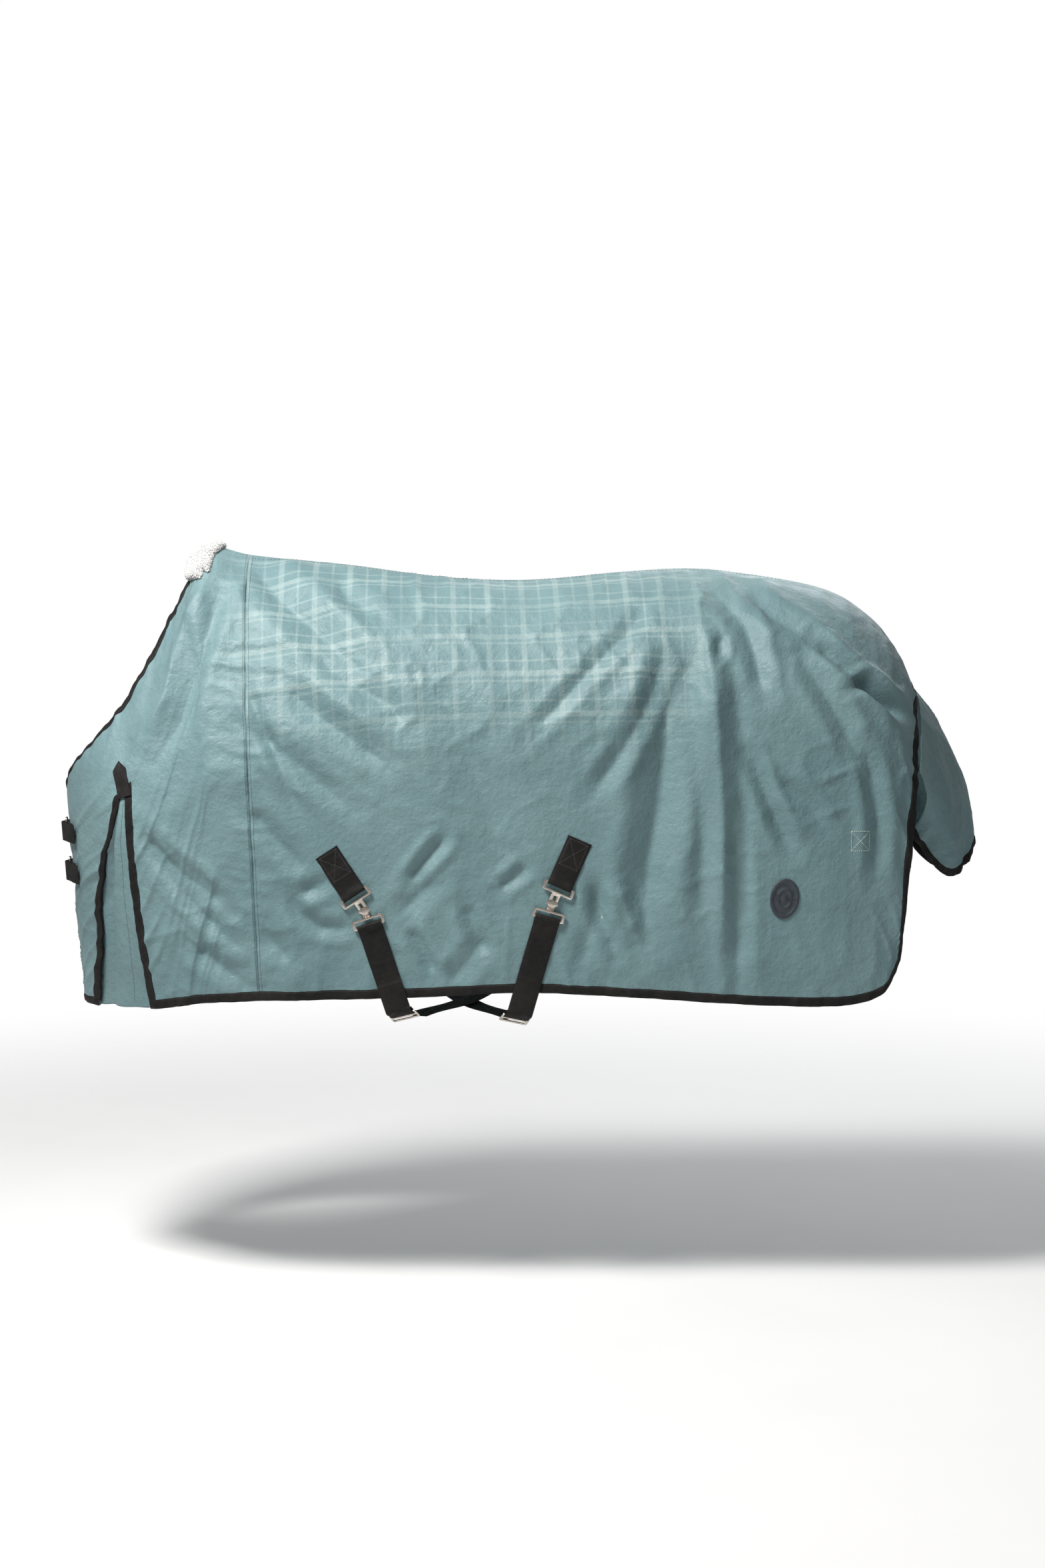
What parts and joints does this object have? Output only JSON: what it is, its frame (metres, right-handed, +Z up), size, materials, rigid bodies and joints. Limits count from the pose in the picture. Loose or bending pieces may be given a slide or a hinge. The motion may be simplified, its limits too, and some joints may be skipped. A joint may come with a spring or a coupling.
{
  "type": "turnout rug",
  "caption": "Turnout rug for a horse with crossed surcingles, buckled chest straps, shoulder gussets, fleece wither pad and tail flap.",
  "frame": {"origin": "On the line of the back under the rug, halfway between the two surcingles' tops, where the rug rests on the horse", "axes": "+X points to the tail, -Y is the horse's near (left) side with the surcingle fastenings, +Z is up"},
  "size_m": [1.8748, 0.6302, 0.9463],
  "materials": {
    "shell": "ripstop weave",
    "lining": "smooth woven check",
    "binding": "woven tape",
    "webbing": "ribbed webbing",
    "metal": "satin nickel plate",
    "fleece": "pile",
    "badge": "moulded rubber"
  },
  "bodies": {
    "rug": {"front_shell_left": "shell", "body_shell_left": "shell", "lining_left": "lining", "shoulder_gusset_left": "shell", "gusset_tab_left": "webbing", "neck_tape_left": "binding", "chest_tape_left": "binding", "chest_hem_tape_left": "binding", "hem_tape_left": "binding", "rear_tape_left": "binding", "gusset_front_tape_left": "binding", "gusset_rear_tape_left": "binding", "leg_ring_tab_left": "webbing", "wither_pad_left": "fleece", "front_shell_right": "shell", "body_shell_right": "shell", "lining_right": "lining", "shoulder_gusset_right": "shell", "gusset_tab_right": "webbing", "neck_tape_right": "binding", "chest_tape_right": "binding", "chest_hem_tape_right": "binding", "hem_tape_right": "binding", "rear_tape_right": "binding", "gusset_front_tape_right": "binding", "gusset_rear_tape_right": "binding", "leg_ring_tab_right": "webbing", "wither_pad_right": "fleece", "front_surcingle_tab": "webbing", "front_belly_strap": "webbing", "rear_surcingle_tab": "webbing", "rear_belly_strap": "webbing", "chest_chape_upper": "webbing", "chest_strap_upper": "webbing", "chest_buckle_upper": "metal", "chest_chape_lower": "webbing", "chest_strap_lower": "webbing", "chest_buckle_lower": "metal", "badge": "badge"},
    "flap": {"tail_flap": "shell", "tail_flap_tape": "binding"},
    "front_plate": {"front_slot_plate": "metal"},
    "front_surcingle": {"front_stud_plate": "metal", "front_lower_strap": "webbing", "front_slider": "metal"},
    "rear_plate": {"rear_slot_plate": "metal"},
    "rear_surcingle": {"rear_stud_plate": "metal", "rear_lower_strap": "webbing", "rear_slider": "metal"},
    "ring_left": {"leg_ring_left": "metal"},
    "ring_right": {"leg_ring_right": "metal"},
    "prong_upper": {"chest_prong_upper": "metal"},
    "prong_lower": {"chest_prong_lower": "metal"}
  },
  "joints": [
    {"name": "tail_flap_lift", "type": "hinge", "parent": "rug", "child": "flap", "pos_m": [0.80302, 0, -0.22032], "axis": [0, -1, 0], "range_deg": [0, 60]},
    {"name": "front_surcingle_swing", "type": "hinge", "parent": "rug", "child": "front_surcingle", "pos_m": [-0.30967, -0.3094, -0.63783], "axis": [-0.0276, -0.9986, -0.0446], "range_deg": [0, 8]},
    {"name": "front_plate_tilt", "type": "hinge", "parent": "rug", "child": "front_plate", "pos_m": [-0.3305, -0.31025, -0.60606], "axis": [-0.8358, 0.0475, -0.5469], "range_deg": [0, 3]},
    {"name": "rear_surcingle_swing", "type": "hinge", "parent": "rug", "child": "rear_surcingle", "pos_m": [0.05789, -0.311, -0.62405], "axis": [-0.0238, 0.9988, 0.0432], "range_deg": [0, 8]},
    {"name": "rear_plate_tilt", "type": "hinge", "parent": "rug", "child": "rear_plate", "pos_m": [0.07326, -0.31214, -0.58932], "axis": [-0.9143, -0.0392, 0.4032], "range_deg": [0, 3]},
    {"name": "leg_ring_left_swing", "type": "hinge", "parent": "rug", "child": "ring_left", "pos_m": [0.66235, -0.26567, -0.52711], "axis": [0.9808, 0.1949, 0], "range_deg": [0, 70]},
    {"name": "leg_ring_right_swing", "type": "hinge", "parent": "rug", "child": "ring_right", "pos_m": [0.66235, 0.26567, -0.52711], "axis": [-0.9808, 0.1949, 0], "range_deg": [0, 70]},
    {"name": "chest_prong_upper_lift", "type": "hinge", "parent": "rug", "child": "prong_upper", "pos_m": [-0.93182, -0.04063, -0.50703], "axis": [-0.0711, 0, 0.9975], "range_deg": [0, 8]},
    {"name": "chest_prong_lower_lift", "type": "hinge", "parent": "rug", "child": "prong_lower", "pos_m": [-0.92571, -0.04076, -0.58805], "axis": [-0.0737, 0, 0.9973], "range_deg": [0, 8]}
  ]
}
